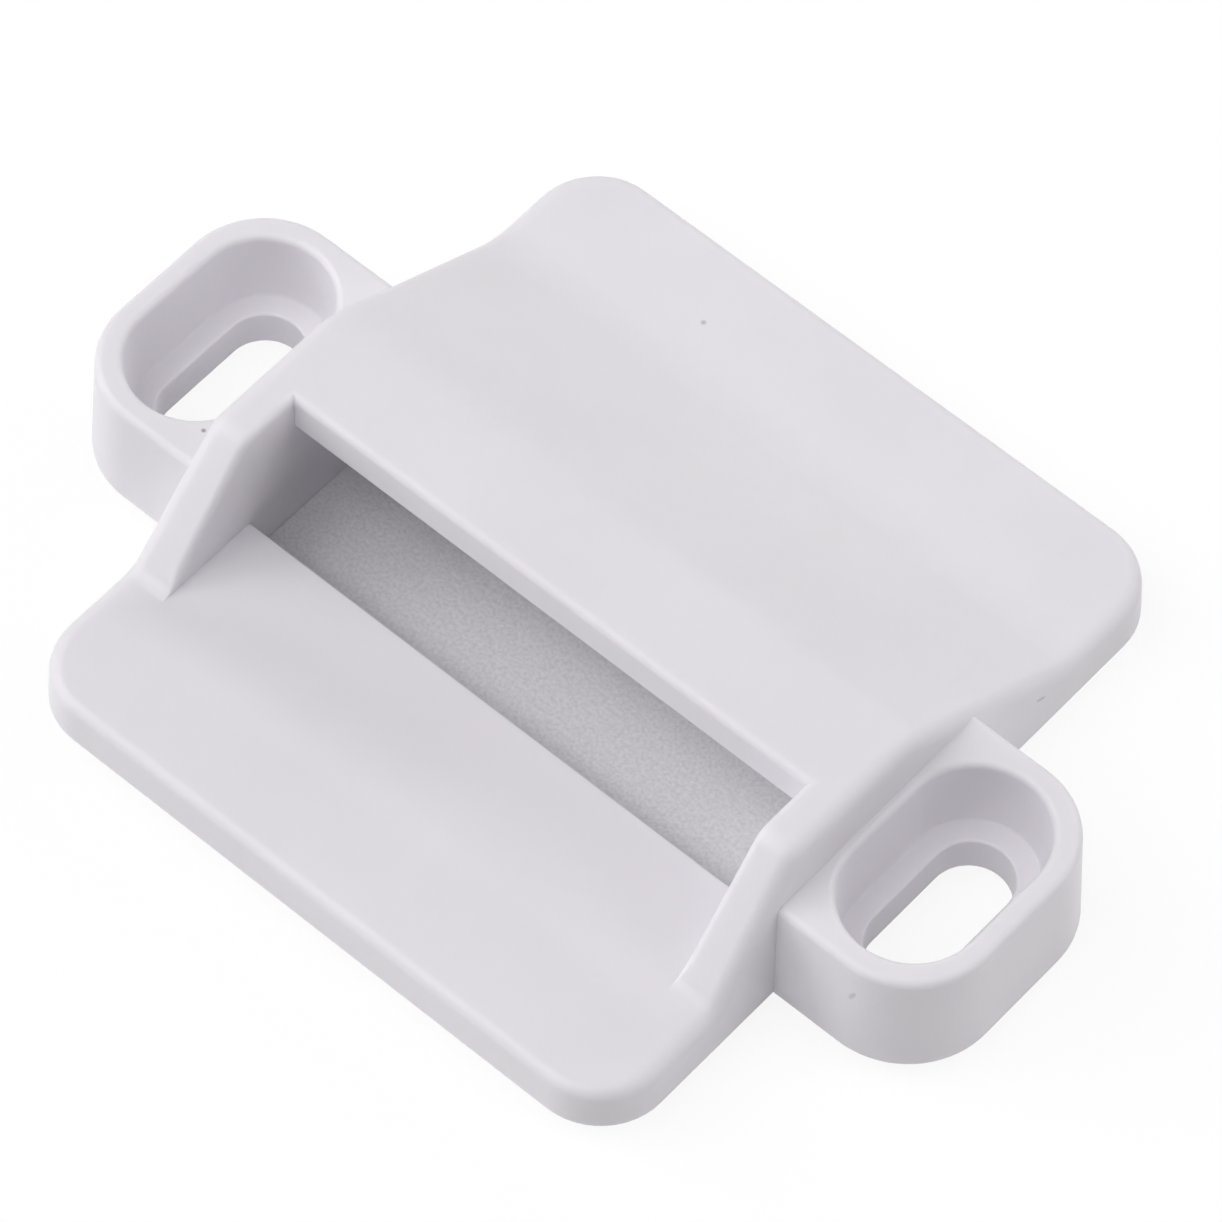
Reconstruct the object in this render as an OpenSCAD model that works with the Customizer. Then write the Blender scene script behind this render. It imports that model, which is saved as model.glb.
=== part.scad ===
// Strike of a cabinet safety lock: a moulded plate with a hooded catch, two screw ears and a foam pad.
// X runs from ear to ear, Y from the catch's mouth to the back of the plate, Z up from the liner's underside.

/* [Base plate] */
// Width of the plate at its underside, from side to side
plate_w = 40; // [36:0.5:50]
// Depth of the plate at its underside, from front to back
plate_d = 44; // [42:0.5:56]
// Thickness of the plate
plate_t = 2.85; // [2:0.05:4]
// Plan radius of the plate's corners at the underside
plate_corner_r = 4; // [2:0.1:6]
// Rounding of the plate's upper edge
plate_edge_r = 0.6; // [0.2:0.05:1]
// Draft of the moulding's outer walls, in degrees from upright
draft = 3; // [1:0.25:4]

/* [Catch hump] */
// Height of the hump's flat top above the plate's underside
hump_h = 10.25; // [9:0.05:12]
// Plain plate in front of the hump, from the plate's edge to the foot of the front slope
apron_d = 8.3; // [6:0.1:10]
// Slope of the hump's front, in degrees from level
front_slope = 51.2; // [45:0.2:60]
// Depth of the hump's flat top
top_d = 8.95; // [7:0.05:11]
// Slope of the ramp behind the flat top, in degrees from level
ramp_slope = 29.4; // [27:0.2:36]
// Rounding at the top of the front slope
front_top_r = 1.5; // [0.3:0.1:2]
// Rounding at the foot of the front slope
front_foot_r = 1.1; // [0.3:0.1:3]
// Rounding at the top and at the foot of the ramp
ramp_bend_r = 4.5; // [2:0.5:8]
// Rounding along the hump's upper side edges
hump_edge_r = 1; // [0.3:0.1:1.5]

/* [Window and pocket] */
// Thickness of the hump's side walls at the plate's underside
side_wall = 3; // [2.4:0.1:4]
// Thickness of the hood over the pocket
hood_t = 2.45; // [1.6:0.05:3]
// Distance from the front end of the flat top back to the hood's lip
lip_setback = 3.6; // [2:0.1:5]
// Depth of the open window in front of the hood's lip
window_d = 3.45; // [2.5:0.05:4]

/* [Screw ears] */
// Distance that an ear reaches out from the plate's side
ear_reach = 9.4; // [8.8:0.1:12]
// Width of an ear from front to back
ear_w = 16; // [15.5:0.5:18]
// Height of an ear above the plate's underside
ear_h = 7.1; // [5:0.1:7.2]
// Distance of the ears' middle behind the middle of the plate, negative towards the front
ear_shift = -1.5; // [-2.5:0.1:0.5]
// Plan radius of an ear's outer corners at the underside
ear_corner_r = 5.2; // [3:0.1:6]
// Rounding of an ear's upper edge
ear_edge_r = 0.45; // [0.2:0.05:0.8]

/* [Screw slots] */
// Width of the slot for the screw's shank
slot_w = 4.4; // [3.5:0.1:5]
// Length of that slot from end to end
slot_l = 9.4; // [7:0.1:10]
// Distance of the slot's centre line from the plate's side
slot_offset = 3.95; // [3.9:0.05:4.4]
// Width of the counterbore at the ear's top
head_w = 7.6; // [6.8:0.1:8]
// Draw-in of the counterbore's wall from its rim to its floor
head_taper = 0.3; // [0.1:0.05:0.5]
// Rounding of the counterbore's rim
head_rim_r = 0.4; // [0.1:0.05:0.45]
// Height of the counterbore's floor above the plate's underside
head_floor = 2.45; // [1.5:0.05:3.5]

/* [Foam pad] */
// Distance that the pad stays inside the plate's edge
pad_inset = 2; // [1:0.25:4]
// Plan radius of the pad's corners
pad_corner_r = 2; // [1:0.25:4]
// Thickness of the foam carrier
foam_t = 1; // [0.5:0.1:2]
// Thickness of each coat of adhesive
adhesive_t = 0.08; // [0.04:0.01:0.2]
// Thickness of the release liner
liner_t = 0.1; // [0.05:0.01:0.2]

/* [Hidden] */
$fn = 96;
// Overshoot of a cut past the face that it opens
past = 1;
// Reach of a rounding cut past the faces that it rounds, as a share of its size
cut_reach = 1.5;
// Levels of the pad's layers, counted up from the liner's underside
lower_adhesive_z = liner_t;
foam_z = lower_adhesive_z + adhesive_t;
upper_adhesive_z = foam_z + foam_t;
body_z = upper_adhesive_z + adhesive_t;
// Side view of the hump: front foot, front and back end of the flat top, ramp foot
front_foot = [apron_d - plate_d / 2, plate_t];
top_front = [front_foot[0] + (hump_h - plate_t) / tan(front_slope), hump_h];
top_back = [top_front[0] + top_d, hump_h];
ramp_foot = [top_back[0] + (hump_h - plate_t) / tan(ramp_slope), plate_t];
// Pocket under the hood, whose ceiling keeps the hood's thickness until it is down at the plate's top
inner_w = plate_w - 2 * side_wall;
lip_y = top_front[0] + lip_setback;
window_y = lip_y - window_d;
mouth_y = front_foot[0] - front_foot_r;
ceiling_z = hump_h - hood_t;
ceiling_bend = [top_back[0] - hood_t * tan(ramp_slope / 2), ceiling_z];
ceiling_foot = [ceiling_bend[0] + (ceiling_z - plate_t) / tan(ramp_slope), plate_t];
// Ears, which are rooted half way into the hump's side walls
ear_x = plate_w / 2 + ear_reach;
ear_root = plate_w / 2 - side_wall / 2;
slot_x = plate_w / 2 + slot_offset;
slot_straight = slot_l - slot_w;
// The pad's outline
pad_w = plate_w - 2 * pad_inset;
pad_d = plate_d - 2 * pad_inset;

function unit(v) = v / norm(v);

// The scrap between the corner at p, whose legs run to a and b, and an arc that touches both legs.
// A reach above 1 carries it out past the legs, for a clean cut.
module corner_scrap(a, p, b, r, reach = 1) {
    leg_a = unit(a - p);
    leg_b = unit(b - p);
    half = acos(leg_a * leg_b) / 2;
    centre = p + unit(leg_a + leg_b) * r / sin(half);
    touch = r / tan(half);
    difference() {
        polygon([for (q = [p, p + leg_a * touch, centre, p + leg_b * touch]) centre + (q - centre) * reach]);
        translate(centre)
            circle(r);
    }
}

// Half section of a drafted wall with a rounded upper edge, from the middle of its plan corner outwards
module rim_section(reach, height, edge_r) {
    edge = [reach - height * tan(draft), height];
    difference() {
        polygon([[0, 0], [reach, 0], edge, [0, height]]);
        corner_scrap([reach, 0], edge, [0, height], edge_r, cut_reach);
    }
}

// A straight stretch of that wall, facing +X, with its length along Y
module rim_side(length, reach, height, edge_r) {
    rotate([90, 0, 0])
        linear_extrude(length, center = true)
            rim_section(reach, height, edge_r);
}

// A quarter turn of that wall, from +X to +Y
module rim_corner(reach, height, edge_r) {
    rotate_extrude(angle = 90)
        rim_section(reach, height, edge_r);
}

// Flat plate with drafted walls, round corners and a rounded upper edge
module base_plate() {
    mid_w = plate_w - 2 * plate_corner_r;
    mid_d = plate_d - 2 * plate_corner_r;
    translate([-mid_w / 2, -mid_d / 2, 0])
        cube([mid_w, mid_d, plate_t]);
    for (turn = [0, 180]) {
        rotate(turn)
            translate([mid_w / 2, 0, 0])
                rim_side(mid_d, plate_corner_r, plate_t, plate_edge_r);
        rotate(turn + 90)
            translate([mid_d / 2, 0, 0])
                rim_side(mid_w, plate_corner_r, plate_t, plate_edge_r);
        rotate(turn)
            translate([mid_w / 2, mid_d / 2, 0])
                rim_corner(plate_corner_r, plate_t, plate_edge_r);
        rotate(turn + 90)
            translate([mid_d / 2, mid_w / 2, 0])
                rim_corner(plate_corner_r, plate_t, plate_edge_r);
    }
}

// Side view of the hump, with its bends rounded
module hump_section() {
    difference() {
        union() {
            polygon([[front_foot[0], 0], front_foot, top_front, top_back, ramp_foot, [ramp_foot[0], 0]]);
            corner_scrap([-plate_d, plate_t], front_foot, top_front, front_foot_r);
            corner_scrap(top_back, ramp_foot, [plate_d, plate_t], ramp_bend_r);
        }
        corner_scrap(front_foot, top_front, top_back, front_top_r, cut_reach);
        corner_scrap(top_front, top_back, ramp_foot, ramp_bend_r, cut_reach);
    }
}

// Space between the drafted planes of the plate's sides
module between_sides() {
    tall = hump_h + past;
    low = plate_w / 2;
    high = low - tall * tan(draft);
    rotate([90, 0, 0])
        linear_extrude(plate_d, center = true)
            polygon([[-low, 0], [low, 0], [high, tall], [-high, tall]]);
}

// Scrap along the hump's upper side edge on the +X side, from one point of the side view to the next,
// with spare length at both ends
module hump_edge_scrap(p, q, spare = past) {
    start = [plate_w / 2 - p[1] * tan(draft), p[0], p[1]];
    end = [plate_w / 2 - q[1] * tan(draft), q[0], q[1]];
    along = unit(end - start);
    up = unit([0, p[1] - q[1], q[0] - p[0]]);
    out = cross(along, up);
    down = cross(along, [cos(draft), 0, sin(draft)]);
    multmatrix([
        [up[0], out[0], along[0], start[0]],
        [up[1], out[1], along[1], start[1]],
        [up[2], out[2], along[2], start[2]]
    ])
        translate([0, 0, -spare])
            linear_extrude(norm(end - start) + 2 * spare)
                corner_scrap([0, -1], [0, 0], [down * up, down * out], hump_edge_r, cut_reach);
}

// Hump across the whole plate, flush with the plate's sides and rounded along its upper side edges
module hump() {
    difference() {
        intersection() {
            rotate([90, 0, 90])
                linear_extrude(plate_w, center = true)
                    hump_section();
            between_sides();
        }
        for (side = [0, 1])
            mirror([side, 0, 0]) {
                hump_edge_scrap(front_foot, top_front);
                hump_edge_scrap(top_front, top_back);
                hump_edge_scrap(top_back, ramp_foot);
                hump_edge_scrap([-plate_d / 2, plate_t], front_foot, 0);
                hump_edge_scrap(ramp_foot, [plate_d / 2, plate_t], 0);
            }
    }
}

// Room for the latch: the mouth in front of the hood, the window through the plate and the pocket behind
module catch_room() {
    rotate([90, 0, 90])
        linear_extrude(inner_w, center = true) {
            polygon([
                [mouth_y, plate_t],
                [lip_y, plate_t],
                [lip_y, hump_h + past],
                [mouth_y, hump_h + past]
            ]);
            polygon([
                [window_y, -past],
                [ceiling_foot[0], -past],
                ceiling_foot,
                ceiling_bend,
                [window_y, ceiling_z]
            ]);
        }
}

// One ear on the +X side, rooted in the hump's side wall
module ear() {
    corner_x = ear_x - ear_corner_r;
    side = ear_w - 2 * ear_corner_r;
    length = corner_x - ear_root;
    translate([0, ear_shift, 0]) {
        translate([ear_root, -side / 2, 0])
            cube([length, side, ear_h]);
        translate([corner_x, 0, 0])
            rim_side(side, ear_corner_r, ear_h, ear_edge_r);
        for (end = [0, 1])
            mirror([0, end, 0])
                translate([0, side / 2, 0]) {
                    translate([corner_x, 0, 0])
                        rim_corner(ear_corner_r, ear_h, ear_edge_r);
                    translate([ear_root + length / 2, 0, 0])
                        rotate(90)
                            rim_side(length, ear_corner_r, ear_h, ear_edge_r);
                }
    }
}

// Slot with round ends along Y, whose wall leans from half width r_low at the bottom to r_high at the top
module long_hole(r_low, r_high, straight, height) {
    rotate([90, 0, 0])
        linear_extrude(straight, center = true)
            polygon([[-r_low, 0], [r_low, 0], [r_high, height], [-r_high, height]]);
    for (end = [0, 180])
        rotate(end)
            translate([0, straight / 2, 0])
                rotate_extrude(angle = 180)
                    polygon([[0, 0], [r_low, 0], [r_high, height], [0, height]]);
}

// Section of the scrap at the counterbore's rim, seen from the end of its straight stretch
module head_rim_section() {
    rim = [head_w / 2, ear_h];
    corner_scrap(rim + [head_w, 0], rim, [head_w / 2 - head_taper, head_floor], head_rim_r, cut_reach);
}

// That scrap all round the counterbore
module head_rim_scrap() {
    rotate([90, 0, 0])
        linear_extrude(slot_straight, center = true) {
            head_rim_section();
            mirror([1, 0])
                head_rim_section();
        }
    for (end = [0, 180])
        rotate(end)
            translate([0, slot_straight / 2, 0])
                rotate_extrude(angle = 180)
                    head_rim_section();
}

// Shank slot through the ear and drafted counterbore for the screw's head, on the +X side
module screw_hole() {
    head_h = ear_h - head_floor;
    lean = head_taper / head_h;
    translate([slot_x, ear_shift, 0]) {
        translate([0, 0, -past])
            long_hole(slot_w / 2, slot_w / 2, slot_straight, head_floor + 2 * past);
        translate([0, 0, head_floor])
            long_hole(head_w / 2 - head_taper, head_w / 2 + lean * past, slot_straight, head_h + past);
        head_rim_scrap();
    }
}

// The moulding: plate, hump and ears in one piece
module keeper_body() {
    color("whitesmoke")
        translate([0, 0, body_z])
            difference() {
                union() {
                    base_plate();
                    hump();
                    ear();
                    mirror([1, 0, 0])
                        ear();
                }
                catch_room();
                screw_hole();
                mirror([1, 0, 0])
                    screw_hole();
            }
}

// One layer of the pad
module pad_layer(thickness) {
    mid_w = pad_w - 2 * pad_corner_r;
    mid_d = pad_d - 2 * pad_corner_r;
    translate([-pad_w / 2, -mid_d / 2, 0])
        cube([pad_w, mid_d, thickness]);
    for (turn = [0, 180])
        rotate(turn) {
            translate([-mid_w / 2, mid_d / 2, 0])
                cube([mid_w, pad_corner_r, thickness]);
            translate([mid_w / 2, mid_d / 2, 0])
                rotate_extrude(angle = 90)
                    square([pad_corner_r, thickness]);
            translate([-mid_w / 2, mid_d / 2, 0])
                rotate(90)
                    rotate_extrude(angle = 90)
                        square([pad_corner_r, thickness]);
        }
}

// Adhesive between the foam and the moulding
module upper_adhesive() {
    color("gainsboro")
        translate([0, 0, upper_adhesive_z])
            pad_layer(adhesive_t);
}

// Closed-cell foam that evens out the cabinet's surface
module foam_carrier() {
    color("lightgray")
        translate([0, 0, foam_z])
            pad_layer(foam_t);
}

// Adhesive that sticks to the cabinet
module lower_adhesive() {
    color("gainsboro")
        translate([0, 0, lower_adhesive_z])
            pad_layer(adhesive_t);
}

// Paper liner that covers the lower adhesive until the strike is fitted
module release_liner() {
    color("ivory")
        pad_layer(liner_t);
}

keeper_body();
upper_adhesive();
foam_carrier();
lower_adhesive();
release_liner();
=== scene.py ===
from math import acos, atan2, cos, hypot, pi, radians, sin, tan

import bmesh
import bpy
from mathutils import Matrix, Vector


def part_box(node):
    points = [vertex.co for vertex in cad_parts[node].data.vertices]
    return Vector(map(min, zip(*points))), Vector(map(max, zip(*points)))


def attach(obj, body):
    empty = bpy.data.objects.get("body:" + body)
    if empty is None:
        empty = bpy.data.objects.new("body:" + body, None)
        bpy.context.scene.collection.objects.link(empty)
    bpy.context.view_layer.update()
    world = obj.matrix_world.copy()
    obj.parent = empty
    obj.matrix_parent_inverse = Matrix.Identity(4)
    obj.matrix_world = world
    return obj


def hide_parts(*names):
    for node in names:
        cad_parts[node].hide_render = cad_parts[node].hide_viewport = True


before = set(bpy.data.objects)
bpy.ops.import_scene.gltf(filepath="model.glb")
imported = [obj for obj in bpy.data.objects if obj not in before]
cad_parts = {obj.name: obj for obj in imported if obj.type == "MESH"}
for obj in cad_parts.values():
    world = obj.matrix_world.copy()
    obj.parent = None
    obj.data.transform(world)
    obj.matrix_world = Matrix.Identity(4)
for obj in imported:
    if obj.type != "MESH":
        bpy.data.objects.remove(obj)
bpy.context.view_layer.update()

mm = 0.001
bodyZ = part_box("keeper_body")[0].z / mm      # the moulding's underside sits on the pad
print("frame loaded, moulding starts %.2f mm up" % bodyZ)


def linear(code):
    # sRGB hex code to the linear colour that shaders use
    parts = [int(code[i:i + 2], 16) / 255 for i in (1, 3, 5)]
    return [c / 12.92 if c <= 0.04045 else ((c + 0.055) / 1.055) ** 2.4 for c in parts] + [1.0]


def addNode(tree, kind, inputs=None, **settings):
    node = tree.nodes.new(kind)
    for key, value in settings.items():
        setattr(node, key, value)
    for key, value in (inputs or {}).items():
        if isinstance(value, bpy.types.NodeSocket):
            tree.links.new(value, node.inputs[key])
        else:
            node.inputs[key].default_value = value
    return node


def newMaterial(name):
    material = bpy.data.materials.new(name)
    material.use_nodes = True
    material.node_tree.nodes.clear()
    return material, material.node_tree


# Moulded ABS: spark-eroded tool, so a satin white with a faint lilac cast, a grain that hardly shows
# and soft light inside it at thin edges
absLook = {
    "pale": "#eeebf0",
    "deep": "#ebe8ed",
    "toneSpan": (0.3, 0.7),  # stretch of the noise that goes from deep to pale
    "cloudMm": 9.0,          # slow drift of the pigment
    "grainMm": 0.22,         # eroded grain, really about 0.05 mm, drawn coarser so that it shows
    "grainDepthMm": 0.0012,
    "roughLow": 0.46,
    "roughHigh": 0.58,
    "ior": 1.53,
    "scatter": 0.7,
    "scatterMm": 0.4,
    "scatterTint": (1.0, 0.9, 0.95),     # share of that reach for red, green and blue
    "speck": "#77747a",      # burnt resin and scuffs
    "speckCore": 0.4,        # share of a speck's width that has its full tone
    "specks": [
        # two specks and two short scratches: both ends and half the width in mm, then how much
        # of the speck's colour shows
        ((-7.98, 17.34, 4.11), (-7.98, 17.34, 4.11), 0.19, 0.4),
        ((-20.6, -7.1, 8.36), (-20.6, -7.1, 8.36), 0.16, 0.7),
        ((24.5, -9.23, 5.6), (24.8, -9.23, 6.3), 0.16, 0.25),
        ((19.84, 10.95, 4.22), (19.84, 11.6, 3.9), 0.16, 0.33),
    ],
}


def mouldedAbs():
    material, tree = newMaterial("mouldedAbs")
    place = addNode(tree, "ShaderNodeTexCoord").outputs["Object"]
    cloud = addNode(tree, "ShaderNodeTexNoise", {
        "Vector": place, "Scale": 1 / (absLook["cloudMm"] * mm), "Detail": 3.0})
    tone = addNode(tree, "ShaderNodeValToRGB", {"Fac": cloud.outputs["Fac"]})
    for stop, spot, shade in zip(tone.color_ramp.elements, absLook["toneSpan"], ("deep", "pale")):
        stop.position, stop.color = spot, linear(absLook[shade])
    grain = addNode(tree, "ShaderNodeTexNoise", {
        "Vector": place, "Scale": 1 / (absLook["grainMm"] * mm), "Detail": 2.0})
    rough = addNode(tree, "ShaderNodeMapRange", {
        "Value": grain.outputs["Fac"], "To Min": absLook["roughLow"], "To Max": absLook["roughHigh"]})
    bump = addNode(tree, "ShaderNodeBump", {
        "Height": grain.outputs["Fac"], "Strength": 1.0, "Distance": absLook["grainDepthMm"] * mm})
    colour = tone.outputs["Color"]
    for start, end, width, share in absLook["specks"]:
        # the ways to both ends add up to the same sum all round an ellipse
        fromStart = addNode(tree, "ShaderNodeVectorMath", {
            0: place, 1: Vector(start) * mm}, operation="DISTANCE").outputs["Value"]
        fromEnd = addNode(tree, "ShaderNodeVectorMath", {
            0: place, 1: Vector(end) * mm}, operation="DISTANCE").outputs["Value"]
        ways = addNode(tree, "ShaderNodeMath", {0: fromStart, 1: fromEnd}, operation="ADD").outputs[0]
        length = (Vector(end) - Vector(start)).length
        rim, core = (hypot(length, 2 * width * part) * mm for part in (1.0, absLook["speckCore"]))
        inside = addNode(tree, "ShaderNodeMapRange", {
            "Value": ways, "From Min": rim, "From Max": core, "To Max": share})
        mixed = addNode(tree, "ShaderNodeMix", {
            0: inside.outputs["Result"], 6: colour, 7: linear(absLook["speck"])}, data_type="RGBA")
        colour = mixed.outputs[2]
    shader = addNode(tree, "ShaderNodeBsdfPrincipled", {
        "Base Color": colour,
        "Roughness": rough.outputs["Result"],
        "Normal": bump.outputs["Normal"],
        "IOR": absLook["ior"],
        "Subsurface Weight": absLook["scatter"],
        "Subsurface Radius": absLook["scatterTint"],
        "Subsurface Scale": absLook["scatterMm"] * mm})
    addNode(tree, "ShaderNodeOutputMaterial", {"Surface": shader.outputs["BSDF"]})
    return material


# Closed-cell polyethylene foam: matt grey-white, a fine grain of cut cells over low domes
foamLook = {
    "pale": "#eeedf0",
    "deep": "#dbd9de",
    "toneSpan": (0.28, 0.62),
    "grainMm": 0.21,
    "grainRough": 0.6,
    "grainDepthMm": 0.022,
    "rough": 0.8,
    "ior": 1.5,
}


def polyethyleneFoam():
    material, tree = newMaterial("polyethyleneFoam")
    place = addNode(tree, "ShaderNodeTexCoord").outputs["Object"]
    grain = addNode(tree, "ShaderNodeTexNoise", {
        "Vector": place, "Scale": 1 / (foamLook["grainMm"] * mm),
        "Detail": 2.0, "Roughness": foamLook["grainRough"]})
    tone = addNode(tree, "ShaderNodeValToRGB", {"Fac": grain.outputs["Fac"]})
    for stop, spot, shade in zip(tone.color_ramp.elements, foamLook["toneSpan"], ("deep", "pale")):
        stop.position, stop.color = spot, linear(foamLook[shade])
    bump = addNode(tree, "ShaderNodeBump", {
        "Height": grain.outputs["Fac"], "Strength": 1.0, "Distance": foamLook["grainDepthMm"] * mm})
    shader = addNode(tree, "ShaderNodeBsdfPrincipled", {
        "Base Color": tone.outputs["Color"], "Roughness": foamLook["rough"], "IOR": foamLook["ior"],
        "Normal": bump.outputs["Normal"]})
    addNode(tree, "ShaderNodeOutputMaterial", {"Surface": shader.outputs["BSDF"]})
    return material


# Acrylic adhesive: a clear, tacky coat, seen only as small sparkles over the foam's cells
glueLook = {
    "tint": "#f2f2ef",
    "alpha": 0.1,
    "rough": 0.3,
    "ior": 1.47,
    "rippleMm": 0.5,
    "rippleDepthMm": 0.02,
}


def acrylicAdhesive():
    material, tree = newMaterial("acrylicAdhesive")
    place = addNode(tree, "ShaderNodeTexCoord").outputs["Object"]
    ripple = addNode(tree, "ShaderNodeTexNoise", {
        "Vector": place, "Scale": 1 / (glueLook["rippleMm"] * mm), "Detail": 2.0})
    bump = addNode(tree, "ShaderNodeBump", {
        "Height": ripple.outputs["Fac"], "Strength": 1.0, "Distance": glueLook["rippleDepthMm"] * mm})
    shader = addNode(tree, "ShaderNodeBsdfPrincipled", {
        "Base Color": linear(glueLook["tint"]), "Alpha": glueLook["alpha"],
        "Roughness": glueLook["rough"], "IOR": glueLook["ior"],
        "Normal": bump.outputs["Normal"]})
    addNode(tree, "ShaderNodeOutputMaterial", {"Surface": shader.outputs["BSDF"]})
    return material


# Siliconised kraft paper: calendered and coated, so pale straw with short fibres and a dull shine
paperLook = {
    "pale": "#ece7d8",
    "deep": "#dfd8c4",
    "toneSpan": (0.3, 0.65),
    "fibreMm": 0.35,
    "fibreDepthMm": 0.004,
    "fibreRun": (1.0, 0.3, 1.0),     # a small number draws the fibres out along that axis
    "rough": 0.38,
    "ior": 1.45,
}


def siliconisedPaper():
    material, tree = newMaterial("siliconisedPaper")
    place = addNode(tree, "ShaderNodeTexCoord").outputs["Object"]
    along = addNode(tree, "ShaderNodeMapping", {"Vector": place, "Scale": paperLook["fibreRun"]})
    fibre = addNode(tree, "ShaderNodeTexNoise", {
        "Vector": along.outputs["Vector"], "Scale": 1 / (paperLook["fibreMm"] * mm), "Detail": 4.0})
    tone = addNode(tree, "ShaderNodeValToRGB", {"Fac": fibre.outputs["Fac"]})
    for stop, spot, shade in zip(tone.color_ramp.elements, paperLook["toneSpan"], ("deep", "pale")):
        stop.position, stop.color = spot, linear(paperLook[shade])
    bump = addNode(tree, "ShaderNodeBump", {
        "Height": fibre.outputs["Fac"], "Strength": 1.0, "Distance": paperLook["fibreDepthMm"] * mm})
    shader = addNode(tree, "ShaderNodeBsdfPrincipled", {
        "Base Color": tone.outputs["Color"], "Roughness": paperLook["rough"], "IOR": paperLook["ior"],
        "Normal": bump.outputs["Normal"]})
    addNode(tree, "ShaderNodeOutputMaterial", {"Surface": shader.outputs["BSDF"]})
    return material


absMaterial = mouldedAbs()
foamMaterial = polyethyleneFoam()
glueMaterial = acrylicAdhesive()
paperMaterial = siliconisedPaper()
print("materials made")

weldMm = 1e-4                # points closer than this are one


def bentLine(corners, steps):
    # a line through (y, z, radius) corners with its bends rounded, as (point, upward normal) pairs
    points = [Vector(c[:2]) for c in corners]
    line = []
    for i, p in enumerate(points):
        before = (p - points[i - 1]).normalized() if i else (points[1] - p).normalized()
        after = (points[i + 1] - p).normalized() if i < len(points) - 1 else before
        radius = corners[i][2]
        if not radius:
            line.append((p, Vector((-after.y, after.x))))
            continue
        turn = atan2(before.x * after.y - before.y * after.x, before.dot(after))
        side = 1 if turn > 0 else -1
        start = p - before * radius * tan(abs(turn) / 2)
        centre = start + Vector((-before.y, before.x)) * radius * side
        for k in range(steps + 1):
            a = turn * k / steps
            way = Vector((before.x * cos(a) - before.y * sin(a),
                          before.x * sin(a) + before.y * cos(a)))
            normal = Vector((-way.y, way.x))
            line.append((centre - normal * radius * side, normal))
    return line


def evenLine(line, longest):
    # adds points to the straight stretches, so that none is longer than given
    out = [line[0]]
    for (p, n), (q, m) in zip(line, line[1:]):
        count = int((q - p).length // longest) + 1
        out += [(p.lerp(q, k / count), n.lerp(m, k / count).normalized())
                for k in range(1, count + 1)]
    return out


def skin(bm, rings, closed=True):
    # quads between rings of as many vertices each
    for low, high in zip(rings, rings[1:]):
        n = len(low)
        for i in range(n if closed else n - 1):
            j = (i + 1) % n
            bm.faces.new((low[i], low[j], high[j], high[i]))


def finishMesh(bm, name):
    bmesh.ops.remove_doubles(bm, verts=bm.verts, dist=weldMm)
    bmesh.ops.recalc_face_normals(bm, faces=bm.faces)
    mesh = bpy.data.meshes.new(name)
    bm.to_mesh(mesh)
    bm.free()
    piece = bpy.data.objects.new(name, mesh)
    bpy.context.scene.collection.objects.link(piece)
    return piece


def bake(piece, name):
    # the evaluated mesh as a plain one, without modifiers
    graph = bpy.context.evaluated_depsgraph_get()
    mesh = bpy.data.meshes.new_from_object(piece.evaluated_get(graph), depsgraph=graph)
    mesh.name = name
    piece.modifiers.clear()
    piece.data = mesh
    return piece


# Sizes of the moulding in mm, angles in degrees, heights from its underside
keeper = {
    "width": 40.0,
    "depth": 44.0,
    "plateT": 2.85,
    "cornerR": 4.0,
    "draft": 3.0,
    "plateEdgeR": 0.6,       # front and back edge
    "sideEdgeR": 0.95,       # both side edges, which blend into the others round the corners
    "humpH": 10.25,
    "apronD": 8.3,
    "frontSlope": 51.2,
    "topD": 8.95,
    "rampSlope": 29.4,
    "frontTopR": 1.5,
    "frontFootR": 1.1,
    "rampBendR": 4.5,
    "sideWall": 3.0,
    "hoodT": 2.45,
    "lipSetback": 3.6,
    "windowD": 3.45,
    "lipRound": 0.45,        # rounding of the hood's lip and of the side walls' inner edges
    "lipShare": 0.45,        # most of a low wall's height that its rounding takes
    "windowRound": 0.15,
    "ceilingBendR": 1.0,
    "pocketBackR": 0.4,
    "baseBreak": 0.1,
    "longestStep": 1.0,
    "arcSteps": 6,
    "bendSteps": 10,
    "cornerSteps": 12,
    "lipSteps": 4,
    "roomSteps": 5,
    "weld": 2e-4,            # for the seams that the ears leave
    "sliver": 1e-5,
    "sharpAngle": 35,
}


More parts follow.
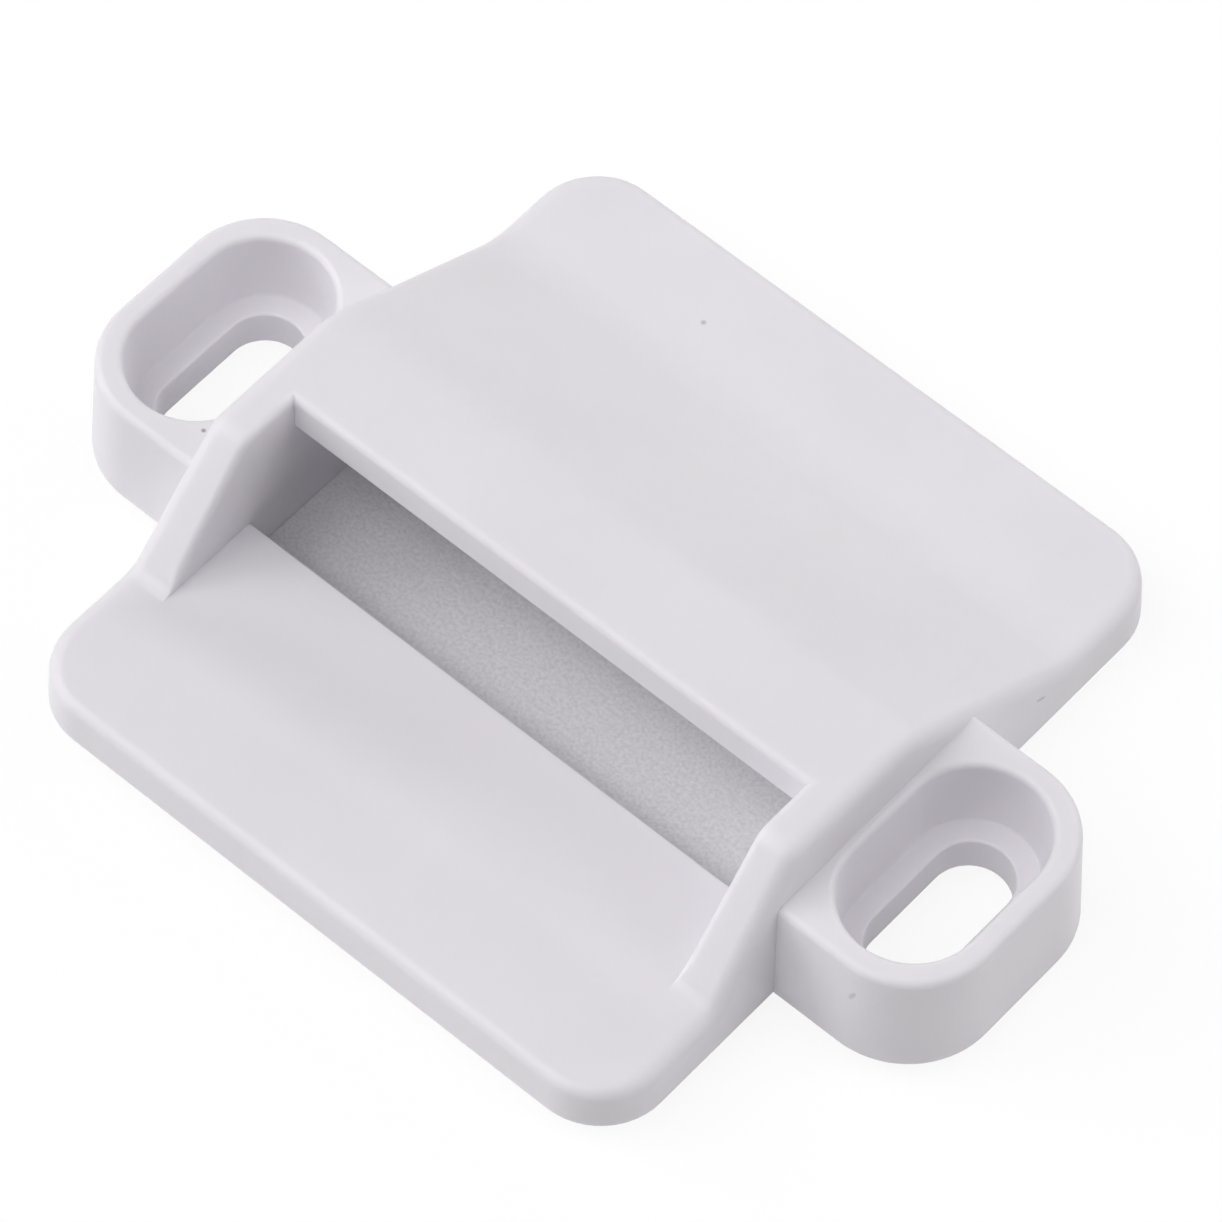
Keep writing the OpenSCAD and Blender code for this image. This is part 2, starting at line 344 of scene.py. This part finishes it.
def keeperBody():
    k = keeper
    lean = tan(radians(k["draft"]))
    half, deep, flat = k["width"] / 2, k["depth"] / 2, k["plateT"]
    rise = k["humpH"] - flat
    wall = Vector((cos(radians(k["draft"])), 0, sin(radians(k["draft"]))))
    footY = k["apronD"] - deep
    frontY = footY + rise / tan(radians(k["frontSlope"]))
    backY = frontY + k["topD"]
    rampY = backY + rise / tan(radians(k["rampSlope"]))
    lipY = frontY + k["lipSetback"]
    windowY = lipY - k["windowD"]
    inner = half - k["sideWall"]
    ceiling = k["humpH"] - k["hoodT"]
    bendY = backY - k["hoodT"] * tan(radians(k["rampSlope"]) / 2)
    pocketY = bendY + (ceiling - flat) / tan(radians(k["rampSlope"]))
    cornerX, cornerY = half - k["cornerR"], deep - k["cornerR"]

    side = evenLine(bentLine([
        (-cornerY, flat, 0), (footY, flat, k["frontFootR"]), (frontY, k["humpH"], k["frontTopR"]),
        (lipY, k["humpH"], 0), (backY, k["humpH"], k["rampBendR"]), (rampY, flat, k["rampBendR"]),
        (cornerY, flat, 0)], k["bendSteps"]), k["longestStep"])[1:-1]

    def sideColumn(point, normal):
        # up a side wall and over its edge, at one point of the side line
        r = k["sideEdgeR"]
        low = point - normal * r
        hub = Vector((half - lean * low.y - r / wall.x, low.x, low.y))
        up = Vector((0, normal.x, normal.y))
        return edgeColumn(hub, Vector((1, 0, 0)), up, r, half)

    def cornerColumn(centre, angle):
        # the same at a corner, where the edge's radius goes over from the side's to the front's
        grow = 1 - abs(angle) / (pi / 2)
        r = k["plateEdgeR"] + (k["sideEdgeR"] - k["plateEdgeR"]) * grow * grow * (3 - 2 * grow)
        out = Vector((cos(angle), sin(angle), 0))
        hub = centre + out * (k["cornerR"] - lean * (flat - r) - r / wall.x)
        hub.z += flat - r
        return edgeColumn(hub, out, Vector((0, 0, 1)), r, centre.dot(out) + k["cornerR"])

    def edgeColumn(hub, out, up, r, foot):
        # broken foot, straight wall, then an arc round the hub to the top
        lying = out * wall.x + Vector((0, 0, wall.z))
        spread = acos(lying.dot(up))
        along = hub - out * hub.dot(out)
        along.z = 0
        cut = k["baseBreak"]
        rows = [along + out * (foot - cut), along + out * (foot - cut * lean) + Vector((0, 0, cut))]
        for i in range(k["arcSteps"] + 1):
            t = i / k["arcSteps"]
            rows.append(hub + (lying * sin((1 - t) * spread) + up * sin(t * spread)) * r / sin(spread))
        return rows

    steps = k["cornerSteps"]
    right = [cornerColumn(Vector((cornerX, -cornerY, 0)), (i / steps - 1) * pi / 2)
             for i in range(steps + 1)]
    first = len(right)
    right += [sideColumn(p, n) for p, n in side]
    right += [cornerColumn(Vector((cornerX, cornerY, 0)), i / steps * pi / 2)
              for i in range(steps + 1)]
    count = len(right)
    columns = right + [[Vector((-p.x, p.y, p.z)) for p in c] for c in reversed(right)]

    bm = bmesh.new()
    rings = [[bm.verts.new(c[row]) for c in columns] for row in range(len(columns[0]))]
    skin(bm, rings)
    top = rings[-1]

    def other(j):
        # the left edge's point across from the right edge's point j
        return top[2 * count - 1 - j]

    # stations on the side line where the mouth's walls start, where the lip is and where the back is flat
    foot = first + max(i for i, (p, n) in enumerate(side) if p.y < flat + weldMm and p.x < footY)
    lip = first + min(i for i, (p, n) in enumerate(side) if abs(p.x - lipY) < weldMm)
    back = first + min(i for i, (p, n) in enumerate(side) if p.y < flat + weldMm and p.x > rampY)

    def innerEdge(sign):
        # rolled inner edge of one side wall, from its foot to the hood's lip
        rows = []
        for j in range(foot, lip + 1):
            p, n = side[j - first]
            q = min(k["lipRound"], k["lipShare"] * (p.y - flat))
            row = []
            for i in range(k["lipSteps"] + 1):
                a = i / k["lipSteps"] * pi / 2
                off, drop = q * (1 - sin(a)), q * (1 - cos(a))
                y = p.x - n.x * drop + (off if j == lip else 0)
                row.append(bm.verts.new((sign * (inner + off), y, p.y - n.y * drop)))
            rows.append(row)
        return rows

    rightEdge, leftEdge = innerEdge(1), innerEdge(-1)
    for rows, outer in ((rightEdge, lambda j: top[j]), (leftEdge, other)):
        for i, j in enumerate(range(foot, lip)):
            bm.faces.new((outer(j), outer(j + 1), rows[i + 1][0], rows[i][0]))
        skin(bm, rows, closed=False)
    skin(bm, [rightEdge[-1], leftEdge[-1]], closed=False)

    # section of the room behind the lip and of the window's front wall, drawn across from wall to wall
    roomLine = [p for p, n in bentLine([
        (lipY, k["humpH"] - k["lipRound"], 0), (lipY, ceiling, k["windowRound"]),
        (bendY, ceiling, k["ceilingBendR"]), (pocketY, flat, k["pocketBackR"]),
        (pocketY, 0, 0)], k["roomSteps"])]
    frontLine = [p for p, n in bentLine([
        (windowY, 0, 0), (windowY, flat, k["windowRound"]), (footY, flat, 0)], k["roomSteps"])][:-1]

    def across(line):
        return [[bm.verts.new((sign * inner, p.x, p.y)) for p in line] for sign in (1, -1)]

    room, front = across(roomLine), across(frontLine)
    skin(bm, room, closed=False)
    skin(bm, front, closed=False)
    for edge, roomSide, frontSide in zip((rightEdge, leftEdge), room, front):
        bm.faces.new([row[-1] for row in edge] + roomSide[1:] + frontSide)

    bm.faces.new([other(j) for j in range(foot, -1, -1)] + [top[j] for j in range(foot + 1)]
                 + [rightEdge[0][0], front[0][-1], front[1][-1], leftEdge[0][0]])
    bm.faces.new((top[lip], top[lip + 1], other(lip + 1), other(lip),
                  leftEdge[-1][0], rightEdge[-1][0]))
    for j in range(lip + 1, back):
        bm.faces.new((top[j], top[j + 1], other(j + 1), other(j)))
    bm.faces.new([top[j] for j in range(back, count)]
                 + [other(j) for j in range(count - 1, back - 1, -1)])

    # what is still open is the underside round the window
    bmesh.ops.remove_doubles(bm, verts=bm.verts, dist=weldMm)
    rim = [e for e in bm.edges if e.is_boundary]
    bmesh.ops.triangle_fill(bm, edges=rim, use_beauty=True)
    return finishMesh(bm, "keeperMoulding")


# One screw ear and its slot, in mm and degrees, heights from the moulding's underside
ear = {
    "reach": 9.4,
    "width": 16.0,
    "height": 7.1,
    "shift": -1.5,
    "cornerR": 5.2,
    "edgeR": 0.45,
    "root": 1.5,             # how deep the ear is rooted in the side wall
    "slotOffset": 3.95,
    "slotW": 4.4,
    "slotL": 9.4,
    "headW": 7.6,
    "headTaper": 0.3,
    "headFloor": 2.45,
    "headFillet": 0.15,
    "rimRound": 0.4,
    "rimTurn": 78,           # the rim's rounding stops short of level and runs out straight
    "rimRun": 0.06,
    "slotRound": 0.15,
    "baseBreak": 0.1,
    "cutterReach": 1.0,      # how far the cutter stands out above and below
    "arcSteps": 5,
    "cornerSteps": 18,
    "slotSteps": 28,
}


def earBlock(sign):
    # drafted block with two round corners, right for sign 1 and left for -1
    e, lean = ear, tan(radians(keeper["draft"]))
    edge = keeper["width"] / 2
    wallX, wallZ = cos(radians(keeper["draft"])), sin(radians(keeper["draft"]))
    spread = acos(wallZ)
    centreX, centreY = edge + e["reach"] - e["cornerR"], e["width"] / 2 - e["cornerR"]
    root = edge - e["root"]
    marks = [(root, -centreY, -pi / 2)]
    steps = e["cornerSteps"]
    marks += [(centreX, -centreY, (i / steps - 1) * pi / 2) for i in range(steps + 1)]
    marks += [(centreX, centreY, i / steps * pi / 2) for i in range(steps + 1)]
    marks += [(root, centreY, pi / 2)]
    r = e["edgeR"]
    hubZ = e["height"] - r
    hubR = e["cornerR"] - lean * hubZ - r / wallX
    cut = e["baseBreak"]
    profile = [(e["cornerR"] - cut, 0), (e["cornerR"] - cut * lean, cut)]
    for i in range(e["arcSteps"] + 1):
        t = i / e["arcSteps"]
        a, b = sin((1 - t) * spread) / sin(spread) * r, sin(t * spread) / sin(spread) * r
        profile.append((hubR + a * wallX, hubZ + a * wallZ + b))
    bm = bmesh.new()
    rings = [[bm.verts.new((sign * (x + cos(f) * d), y + sin(f) * d + e["shift"], z))
              for x, y, f in marks] for d, z in profile]
    skin(bm, rings)
    bm.faces.new(rings[0])
    bm.faces.new(rings[-1])
    return finishMesh(bm, "earBlock")


def slotCutter(sign):
    # slot, counterbore and rounded rim as one profile, led round the slot's outline
    e = ear
    slot, floor, height = e["slotW"] / 2, e["headFloor"], e["height"]
    headTop = e["headW"] / 2
    headLow = headTop - e["headTaper"]
    lean = e["headTaper"] / (height - floor)
    beyond, steps = e["cutterReach"], e["arcSteps"]
    profile = [(slot + e["baseBreak"] + beyond, -beyond), (slot, e["baseBreak"])]
    quarter = [i / steps * pi / 2 for i in range(steps + 1)]
    q = e["slotRound"]
    profile += [(slot + q - q * cos(a), floor - q + q * sin(a)) for a in quarter]
    q = e["headFillet"]
    profile += [(headLow - q + q * sin(a), floor + q - q * cos(a)) for a in quarter]
    q = e["rimRound"]
    hub = headTop - lean * q + q
    turns = [i / steps * radians(e["rimTurn"]) for i in range(steps + 1)]
    profile += [(hub - q * cos(a), height - q + q * sin(a)) for a in turns]
    lastR, lastZ = profile[-1]
    outR = lastR + e["rimRun"]
    profile += [(outR, lastZ + e["rimRun"] * tan(radians(90 - e["rimTurn"]))), (outR, height + beyond)]
    straight = (e["slotL"] - e["slotW"]) / 2
    n = e["slotSteps"]
    marks = [(straight, i / n * pi) for i in range(n + 1)]
    marks += [(-straight, pi + i / n * pi) for i in range(n + 1)]
    x = sign * (keeper["width"] / 2 + e["slotOffset"])
    bm = bmesh.new()
    rings = [[bm.verts.new((x + cos(f) * d, y + sin(f) * d + e["shift"], z)) for y, f in marks]
             for d, z in profile]
    skin(bm, rings)
    bm.faces.new(rings[0])
    bm.faces.new(rings[-1])
    return finishMesh(bm, "slotCutter")


moulding = keeperBody()
tools = [(earBlock(1), "UNION"), (earBlock(-1), "UNION"),
         (slotCutter(1), "DIFFERENCE"), (slotCutter(-1), "DIFFERENCE")]
for tool, job in tools:
    cut = moulding.modifiers.new(job, "BOOLEAN")
    cut.operation, cut.object, cut.solver = job, tool, "EXACT"
bake(moulding, "keeperMoulding")
for tool, job in tools:
    bpy.data.objects.remove(tool)
bm = bmesh.new()
bm.from_mesh(moulding.data)
bmesh.ops.remove_doubles(bm, verts=bm.verts, dist=keeper["weld"])
bmesh.ops.dissolve_degenerate(bm, edges=bm.edges, dist=keeper["sliver"])
openEdges = sum(not e.is_manifold for e in bm.edges)
print("moulding: %d open edges, %d faces" % (openEdges, len(bm.faces)))
bmesh.ops.scale(bm, vec=(mm, mm, mm), verts=bm.verts)
bmesh.ops.translate(bm, vec=(0, 0, bodyZ * mm), verts=bm.verts)
bm.to_mesh(moulding.data)
bm.free()
moulding.data.polygons.foreach_set("use_smooth", [True] * len(moulding.data.polygons))
moulding.data.set_sharp_from_angle(angle=radians(keeper["sharpAngle"]))
weigh = moulding.modifiers.new("weighted", "WEIGHTED_NORMAL")
weigh.keep_sharp, weigh.weight = True, 100       # 100 keeps large faces flat beside small ones
bake(moulding, "keeperMoulding")
moulding.data.materials.clear()
moulding.data.materials.append(absMaterial)
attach(moulding, "strike")
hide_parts("keeper_body")
print("moulding made")


# Layers of the mounting pad, in mm. One node tree draws each of them from the sizes of its CAD node:
# step is the grid's, cell and relief are the width and depth of the low domes, rise is how far the top
# reaches into the layer above or, negative, keeps clear of it, and waist draws the cut edge in
pad = {"corner": 2.0, "domeSmooth": 0.4, "weld": 1e-3, "sharpAngle": 50, "seed": 7}
upperFilm = {
    "name": "upperAdhesiveFilm", "node": "upper_adhesive", "slot": "acrylic_adhesive",
    "material": glueMaterial,
    "step": 0.2, "cell": 0.45, "relief": 0.02, "rise": 0.0, "waist": 0.0,
}
foam = {
    "name": "foamCarrier", "node": "foam_carrier", "slot": "pad_foam",
    "material": foamMaterial,
    "step": 0.15, "cell": 0.45, "relief": 0.035, "rise": 0.08, "waist": 0.05,
}
lowerFilm = {
    "name": "lowerAdhesiveFilm", "node": "lower_adhesive", "slot": "acrylic_adhesive",
    "material": glueMaterial,
    "step": 1.0, "cell": 0.45, "relief": 0.0, "rise": -0.01, "waist": 0.0,
}
liner = {
    "name": "releaseLiner", "node": "release_liner", "slot": "liner_paper",
    "material": paperMaterial,
    "step": 1.0, "cell": 3.0, "relief": 0.004, "rise": 0.0, "waist": 0.0,
}


def padTree():
    tree = bpy.data.node_groups.new("padLayer", "GeometryNodeTree")
    wants = [("Width", "Float"), ("Depth", "Float"), ("Corner", "Float"), ("Base", "Float"),
             ("Thickness", "Float"), ("Columns", "Int"), ("Rows", "Int"), ("Cell", "Float"),
             ("Relief", "Float"), ("Waist", "Float"), ("Seed", "Int"), ("Material", "Material")]
    for name, kind in wants:
        tree.interface.new_socket(name=name, in_out="INPUT", socket_type="NodeSocket" + kind)
    tree.interface.new_socket(name="Geometry", in_out="OUTPUT", socket_type="NodeSocketGeometry")
    given = addNode(tree, "NodeGroupInput").outputs
    grid = addNode(tree, "GeometryNodeMeshGrid", {
        "Size X": given["Width"], "Size Y": given["Depth"],
        "Vertices X": given["Columns"], "Vertices Y": given["Rows"]})
    spot = addNode(tree, "GeometryNodeInputPosition").outputs[0]

    # the grid's corner squares are drawn in to quarter discs
    span = addNode(tree, "ShaderNodeCombineXYZ", {"X": given["Width"], "Y": given["Depth"]}).outputs[0]
    corner = addNode(tree, "ShaderNodeCombineXYZ", {"X": given["Corner"], "Y": given["Corner"]}).outputs[0]
    half = addNode(tree, "ShaderNodeVectorMath", {
        0: span, 1: (0.5, 0.5, 0)}, operation="MULTIPLY").outputs[0]
    core = addNode(tree, "ShaderNodeVectorMath", {0: half, 1: corner}, operation="SUBTRACT").outputs[0]
    size = addNode(tree, "ShaderNodeVectorMath", {0: spot}, operation="ABSOLUTE").outputs[0]
    over = addNode(tree, "ShaderNodeVectorMath", {0: size, 1: core}, operation="SUBTRACT").outputs[0]
    past = addNode(tree, "ShaderNodeVectorMath", {0: over, 1: (0, 0, 0)}, operation="MAXIMUM").outputs[0]
    share = addNode(tree, "ShaderNodeVectorMath", {0: past, 1: corner}, operation="DIVIDE").outputs[0]
    square = addNode(tree, "ShaderNodeVectorMath", {0: share, 1: share}, operation="MULTIPLY").outputs[0]
    left = addNode(tree, "ShaderNodeVectorMath", {
        0: square, 1: (-0.5, -0.5, 0), 2: (1, 1, 1)}, operation="MULTIPLY_ADD").outputs[0]
    axes = addNode(tree, "ShaderNodeSeparateXYZ", {0: left}).outputs
    pullX = addNode(tree, "ShaderNodeMath", {0: axes["Y"]}, operation="SQRT").outputs[0]
    pullY = addNode(tree, "ShaderNodeMath", {0: axes["X"]}, operation="SQRT").outputs[0]
    pull = addNode(tree, "ShaderNodeCombineXYZ", {"X": pullX, "Y": pullY}).outputs[0]
    kept = addNode(tree, "ShaderNodeVectorMath", {0: size, 1: core}, operation="MINIMUM").outputs[0]
    drawn = addNode(tree, "ShaderNodeVectorMath", {
        0: past, 1: pull, 2: kept}, operation="MULTIPLY_ADD").outputs[0]
    sign = addNode(tree, "ShaderNodeVectorMath", {0: spot}, operation="SIGN").outputs[0]
    outline = addNode(tree, "ShaderNodeVectorMath", {0: sign, 1: drawn}, operation="MULTIPLY").outputs[0]

    # low domes as over a foam's cells, all below the layer's top
    seed = addNode(tree, "ShaderNodeCombineXYZ", {"Z": given["Seed"]}).outputs[0]
    seeded = addNode(tree, "ShaderNodeVectorMath", {0: outline, 1: seed}, operation="ADD").outputs[0]
    density = addNode(tree, "ShaderNodeMath", {0: 1.0, 1: given["Cell"]}, operation="DIVIDE").outputs[0]
    cells = addNode(tree, "ShaderNodeTexVoronoi", {
        "Vector": seeded, "Scale": density, "Smoothness": pad["domeSmooth"]},
        feature="SMOOTH_F1", voronoi_dimensions="3D")
    fromDome = addNode(tree, "ShaderNodeMath", {
        0: cells.outputs["Distance"], 1: 1.0}, operation="MINIMUM").outputs[0]
    sink = addNode(tree, "ShaderNodeMath", {
        0: given["Relief"], 1: fromDome}, operation="MULTIPLY").outputs[0]
    top = addNode(tree, "ShaderNodeMath", {
        0: given["Base"], 1: given["Thickness"]}, operation="ADD").outputs[0]
    height = addNode(tree, "ShaderNodeMath", {0: top, 1: sink}, operation="SUBTRACT").outputs[0]
    lift = addNode(tree, "ShaderNodeCombineXYZ", {"Z": height}).outputs[0]
    lifted = addNode(tree, "ShaderNodeVectorMath", {0: outline, 1: lift}, operation="ADD").outputs[0]
    face = addNode(tree, "GeometryNodeSetPosition", {"Geometry": grid.outputs["Mesh"], "Position": lifted})

    # cut edge in two steps, drawn in by the waist half way down
    sides = addNode(tree, "GeometryNodeInputMeshEdgeNeighbors").outputs[0]
    rim = addNode(tree, "FunctionNodeCompare", {
        2: sides, 3: 1}, data_type="INT", operation="EQUAL").outputs[0]
    at = addNode(tree, "ShaderNodeSeparateXYZ", {0: spot}).outputs
    fall = addNode(tree, "ShaderNodeMath", {0: given["Base"], 1: at["Z"]}, operation="SUBTRACT").outputs[0]
    halfFall = addNode(tree, "ShaderNodeMath", {0: fall, 1: 0.5}, operation="MULTIPLY").outputs[0]
    place = addNode(tree, "ShaderNodeVectorMath", {0: spot, 1: half}, operation="DIVIDE").outputs[0]
    inwards = addNode(tree, "ShaderNodeVectorMath", {
        0: place, "Scale": given["Waist"]}, operation="SCALE").outputs[0]
    downHalf = addNode(tree, "ShaderNodeCombineXYZ", {"Z": halfFall}).outputs[0]
    down = addNode(tree, "ShaderNodeCombineXYZ", {"Z": fall}).outputs[0]
    toWaist = addNode(tree, "ShaderNodeVectorMath", {
        0: downHalf, 1: inwards}, operation="SUBTRACT").outputs[0]
    toFoot = addNode(tree, "ShaderNodeVectorMath", {0: down, 1: inwards}, operation="ADD").outputs[0]
    upper = addNode(tree, "GeometryNodeExtrudeMesh", {
        "Mesh": face.outputs[0], "Selection": rim, "Offset": toWaist}, mode="EDGES")
    lower = addNode(tree, "GeometryNodeExtrudeMesh", {
        "Mesh": upper.outputs["Mesh"], "Selection": upper.outputs["Top"], "Offset": toFoot}, mode="EDGES")
    foot = addNode(tree, "ShaderNodeCombineXYZ", {
        "X": at["X"], "Y": at["Y"], "Z": given["Base"]}).outputs[0]
    walls = addNode(tree, "GeometryNodeSetPosition", {
        "Geometry": lower.outputs["Mesh"], "Selection": lower.outputs["Top"], "Position": foot}).outputs[0]
    loop = addNode(tree, "GeometryNodeMeshToCurve", {
        "Mesh": walls, "Selection": lower.outputs["Top"]}).outputs[0]
    filled = addNode(tree, "GeometryNodeFillCurve", {"Curve": loop}, mode="NGONS").outputs[0]
    # a fill comes at z = 0, so it is moved to the layer's base
    base = addNode(tree, "ShaderNodeCombineXYZ", {"Z": given["Base"]}).outputs[0]
    under = addNode(tree, "GeometryNodeTransform", {"Geometry": filled, "Translation": base}).outputs[0]
    whole = addNode(tree, "GeometryNodeJoinGeometry")
    tree.links.new(walls, whole.inputs[0])
    tree.links.new(under, whole.inputs[0])
    shut = addNode(tree, "GeometryNodeMergeByDistance", {
        "Geometry": whole.outputs[0], "Distance": pad["weld"] * mm}).outputs[0]
    real = addNode(tree, "GeometryNodeRealizeInstances", {"Geometry": shut}).outputs[0]
    dressed = addNode(tree, "GeometryNodeSetMaterial", {
        "Geometry": real, "Material": given["Material"]}).outputs[0]
    addNode(tree, "NodeGroupOutput", {0: dressed})
    return tree


def padLayer(tree, layer):
    name, step = layer["name"], layer["step"] * mm
    low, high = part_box(layer["node"])
    span = high - low
    values = {
        "Width": span.x, "Depth": span.y, "Corner": pad["corner"] * mm,
        "Base": low.z, "Thickness": span.z + layer["rise"] * mm,
        "Columns": round(span.x / step) + 1, "Rows": round(span.y / step) + 1,
        "Cell": layer["cell"] * mm, "Relief": layer["relief"] * mm, "Waist": layer["waist"] * mm,
        "Seed": pad["seed"], "Material": layer["material"]}
    piece = bpy.data.objects.new(name, bpy.data.meshes.new(name))
    draw = piece.modifiers.new("padLayer", "NODES")
    draw.node_group = tree
    for item in tree.interface.items_tree:
        if item.in_out == "INPUT":
            draw[item.identifier] = values[item.name]
    bpy.context.scene.collection.objects.link(piece)
    bake(piece, name)
    bm = bmesh.new()
    bm.from_mesh(piece.data)
    bmesh.ops.recalc_face_normals(bm, faces=bm.faces)
    openEdges = sum(not e.is_manifold for e in bm.edges)
    print("%s: %d open edges, %d faces" % (name, openEdges, len(bm.faces)))
    bm.to_mesh(piece.data)
    bm.free()
    piece.data.polygons.foreach_set("use_smooth", [True] * len(piece.data.polygons))
    piece.data.set_sharp_from_angle(angle=radians(pad["sharpAngle"]))
    return piece


layerTree = padTree()
for sizes in (upperFilm, foam, lowerFilm, liner):
    layer, node, slot = padLayer(layerTree, sizes), sizes["node"], sizes["slot"]
    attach(layer, "liner" if node == "release_liner" else "strike")
    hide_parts(node)
print("pad made")


# Camera, from the photograph's perspective: angles in degrees, lengths in mm, focal length in pixels
shot = {
    "azimuth": 39.448,
    "elevation": 56.992,
    "roll": 2.183,
    "right": 0.693,
    "up": 1.842,
    "distance": 423.21,
    "focal": 8291.363,
    "frame": 1222,
    "aimZ": 1.26,
    "sensor": 36.0,
    "near": 10.0,
    "far": 20000.0,
}


def makeCamera():
    az, el, roll = (radians(shot[key]) for key in ("azimuth", "elevation", "roll"))
    back = Vector((sin(az) * cos(el), -cos(az) * cos(el), sin(el)))
    level = Vector((cos(az), sin(az), 0))
    upright = back.cross(level)
    across = level * cos(roll) + upright * sin(roll)
    up = upright * cos(roll) - level * sin(roll)
    aim = Vector((0, 0, shot["aimZ"]))
    spot = back * shot["distance"] + across * shot["right"] + up * shot["up"] + aim
    data = bpy.data.cameras.new("camera")
    data.sensor_width = shot["sensor"]
    data.lens = shot["sensor"] * shot["focal"] / shot["frame"]
    data.clip_start, data.clip_end = shot["near"] * mm, shot["far"] * mm
    camera = bpy.data.objects.new("camera", data)
    bpy.context.scene.collection.objects.link(camera)
    turned = Matrix((across, up, back)).transposed().to_4x4()
    camera.matrix_world = Matrix.Translation(spot * mm) @ turned
    bpy.context.scene.camera = camera


makeCamera()
print("camera set")


# White ground inside a ring of soft lamps. Angles in degrees as for the camera, lengths in metres
studio = {
    "ground": 3.0,
    "groundDrop": 0.00002,   # keeps the ground clear of the liner's underside
    "groundTone": 0.9,       # what the ground gives back to the object
    "shadeTone": 0.14,       # share of the ground that takes the shadow
    "glow": 0.88,            # share of the ground that is white by itself
    "lampDistance": 1.2,
    "lampSize": 1.0,
    "lamps": [
        # name, azimuth, elevation, watts
        ("frontLamp", 0, 55, 4.2),
        ("rightHighLamp", 120, 55, 2.6),
        ("rightLowLamp", 120, 22, 3.0),
        ("backLamp", 180, 22, 4.0),
        ("leftHighLamp", 300, 55, 5.0),
        ("leftLowLamp", 300, 22, 5.3),
    ],
}


def seenDirectly(tree):
    # camera, mirror and glass rays, which see plain white
    rays = addNode(tree, "ShaderNodeLightPath").outputs
    some = addNode(tree, "ShaderNodeMath", {
        0: rays["Is Camera Ray"], 1: rays["Is Glossy Ray"]}, operation="MAXIMUM").outputs[0]
    return addNode(tree, "ShaderNodeMath", {
        0: some, 1: rays["Is Transmission Ray"]}, operation="MAXIMUM").outputs[0]


def makeStudio():
    world = bpy.data.worlds.new("studio")
    bpy.context.scene.world = world
    world.use_nodes = True
    tree = world.node_tree
    tree.nodes.clear()
    white = addNode(tree, "ShaderNodeBackground", {"Color": (1, 1, 1, 1), "Strength": seenDirectly(tree)})
    addNode(tree, "ShaderNodeOutputWorld", {"Surface": white.outputs[0]})

    ground, tree = newMaterial("paperGround")
    tone, shade, glow = studio["groundTone"], studio["shadeTone"], studio["glow"]
    giving = addNode(tree, "ShaderNodeBsdfDiffuse", {"Color": (tone, tone, tone, 1)})
    taking = addNode(tree, "ShaderNodeBsdfDiffuse", {"Color": (shade, shade, shade, 1)})
    lit = addNode(tree, "ShaderNodeEmission", {"Color": (1, 1, 1, 1), "Strength": glow})
    shown = addNode(tree, "ShaderNodeAddShader", {0: taking.outputs[0], 1: lit.outputs[0]})
    both = addNode(tree, "ShaderNodeMixShader", {
        0: seenDirectly(tree), 1: giving.outputs[0], 2: shown.outputs[0]})
    addNode(tree, "ShaderNodeOutputMaterial", {"Surface": both.outputs[0]})
    reach, below = studio["ground"] / 2, -studio["groundDrop"]
    mesh = bpy.data.meshes.new("ground")
    corners = [(x * reach, y * reach, below) for x, y in ((-1, -1), (1, -1), (1, 1), (-1, 1))]
    mesh.from_pydata(corners, [], [(0, 1, 2, 3)])
    mesh.materials.append(ground)
    floor = bpy.data.objects.new("ground", mesh)
    bpy.context.scene.collection.objects.link(floor)

    for name, azimuth, elevation, watts in studio["lamps"]:
        az, el = radians(azimuth), radians(elevation)
        place = Vector((sin(az) * cos(el), -cos(az) * cos(el), sin(el))) * studio["lampDistance"]
        data = bpy.data.lights.new(name, "AREA")
        data.shape, data.size, data.energy = "DISK", studio["lampSize"], watts
        lamp = bpy.data.objects.new(name, data)
        bpy.context.scene.collection.objects.link(lamp)
        lamp.location = place
        lamp.rotation_euler = place.to_track_quat("Z", "Y").to_euler()
    bpy.context.scene.view_settings.view_transform = "Standard"


makeStudio()
print("studio lit")
